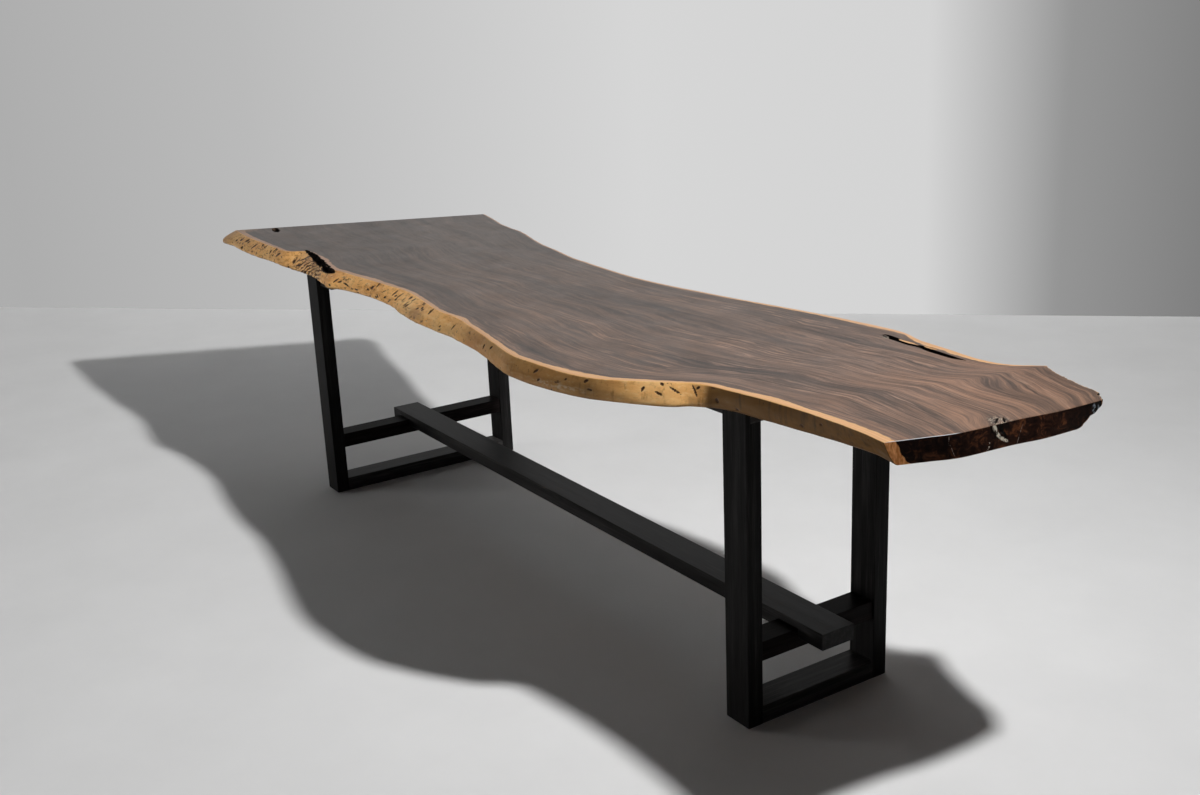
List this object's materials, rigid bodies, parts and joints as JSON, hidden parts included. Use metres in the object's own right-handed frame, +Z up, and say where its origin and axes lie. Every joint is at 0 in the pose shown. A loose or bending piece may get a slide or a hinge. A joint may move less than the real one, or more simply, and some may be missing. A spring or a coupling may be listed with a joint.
{
  "type": "live-edge slab dining table",
  "caption": "Long live-edge hardwood slab table on dark timber U-frames with cross rails and a half-lapped stretcher.",
  "frame": {"origin": "on the floor under the middle of the overall box", "axes": "+X along the table towards its narrow end, +Y across it to the back, +Z up"},
  "size_m": [3.2792, 0.9732, 0.76],
  "materials": {
    "slab_wood": "satin oil on dark heartwood with warm streaks, pale golden sapwood along the live edges",
    "ebonised_wood": "satin ebonised timber, near black with a faint grain",
    "tenon_beech": "bare pressed beech",
    "zinc_steel": "zinc-plated steel",
    "insert_brass": "machined brass"
  },
  "bodies": {
    "root": {"left_back_leg": "ebonised_wood", "left_back_leg_screw_1": "zinc_steel", "left_back_leg_screw_2": "zinc_steel", "left_bearer": "ebonised_wood", "left_bottom_rail": "ebonised_wood", "left_bottom_rail_back_tenon": "tenon_beech", "left_bottom_rail_front_tenon": "tenon_beech", "left_cross_rail": "ebonised_wood", "left_cross_rail_back_tenon": "tenon_beech", "left_cross_rail_front_tenon": "tenon_beech", "left_front_leg": "ebonised_wood", "left_front_leg_screw_1": "zinc_steel", "left_front_leg_screw_2": "zinc_steel", "left_insert_1": "insert_brass", "left_insert_2": "insert_brass", "left_insert_3": "insert_brass", "left_insert_4": "insert_brass", "left_lap_screw": "zinc_steel", "left_slab_bolt_1": "zinc_steel", "left_slab_bolt_2": "zinc_steel", "left_slab_bolt_3": "zinc_steel", "left_slab_bolt_4": "zinc_steel", "left_washer_1": "zinc_steel", "left_washer_2": "zinc_steel", "left_washer_3": "zinc_steel", "left_washer_4": "zinc_steel", "right_back_leg": "ebonised_wood", "right_back_leg_screw_1": "zinc_steel", "right_back_leg_screw_2": "zinc_steel", "right_bearer": "ebonised_wood", "right_bottom_rail": "ebonised_wood", "right_bottom_rail_back_tenon": "tenon_beech", "right_bottom_rail_front_tenon": "tenon_beech", "right_cross_rail": "ebonised_wood", "right_cross_rail_back_tenon": "tenon_beech", "right_cross_rail_front_tenon": "tenon_beech", "right_front_leg": "ebonised_wood", "right_front_leg_screw_1": "zinc_steel", "right_front_leg_screw_2": "zinc_steel", "right_insert_1": "insert_brass", "right_insert_2": "insert_brass", "right_insert_3": "insert_brass", "right_lap_screw": "zinc_steel", "right_slab_bolt_1": "zinc_steel", "right_slab_bolt_2": "zinc_steel", "right_slab_bolt_3": "zinc_steel", "right_washer_1": "zinc_steel", "right_washer_2": "zinc_steel", "right_washer_3": "zinc_steel", "slab_top": "slab_wood", "stretcher": "ebonised_wood"}
  },
  "joints": []
}
